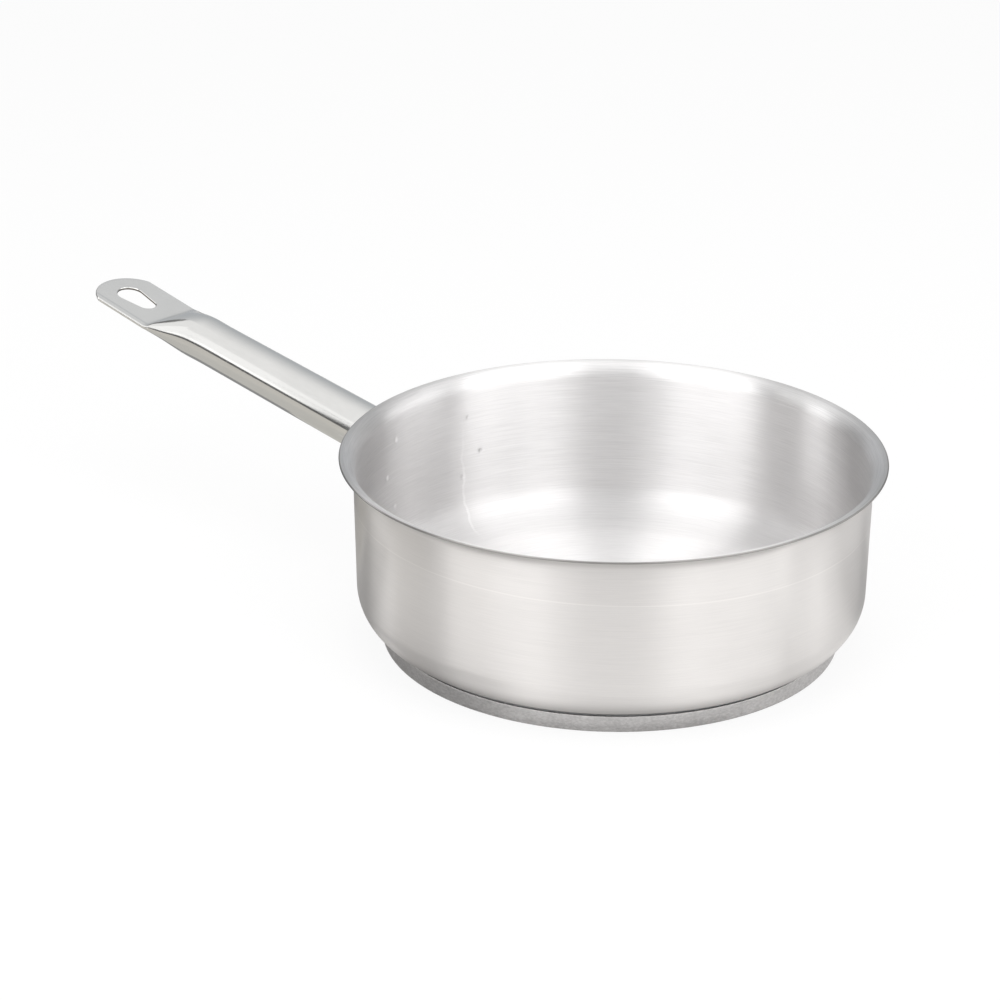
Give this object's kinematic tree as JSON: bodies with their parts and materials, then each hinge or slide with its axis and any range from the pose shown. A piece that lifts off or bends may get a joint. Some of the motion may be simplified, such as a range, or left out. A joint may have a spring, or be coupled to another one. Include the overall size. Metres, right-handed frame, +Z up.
{
  "type": "saute pan",
  "caption": "Low straight-walled steel saute pan with a flared pouring rim, a layered capsule base and a hollow oval handle pressed flat and pierced at its end to hang.",
  "frame": {"origin": "centre of the base's underside, on the surface that the pan stands on", "axes": "+Z up along the pan's axis, +X along the handle away from the pan, +Y across"},
  "size_m": [0.4837, 0.2552, 0.0948],
  "materials": {
    "body_steel": "satin, brushed round the axis",
    "core_aluminium": "plain rolled",
    "capsule_steel": "dull, blasted",
    "handle_steel": "polished steel",
    "weld_steel": "as welded, brushed clean"
  },
  "bodies": {
    "root": {"pan_body": "body_steel", "base_core": "core_aluminium", "base_capsule": "capsule_steel", "handle_tube": "handle_steel", "handle_flange": "handle_steel", "handle_bead": "weld_steel", "spot_weld_1": "weld_steel", "spot_weld_2": "weld_steel", "spot_weld_3": "weld_steel", "spot_weld_4": "weld_steel", "spot_weld_5": "weld_steel", "spot_weld_6": "weld_steel"}
  },
  "joints": []
}
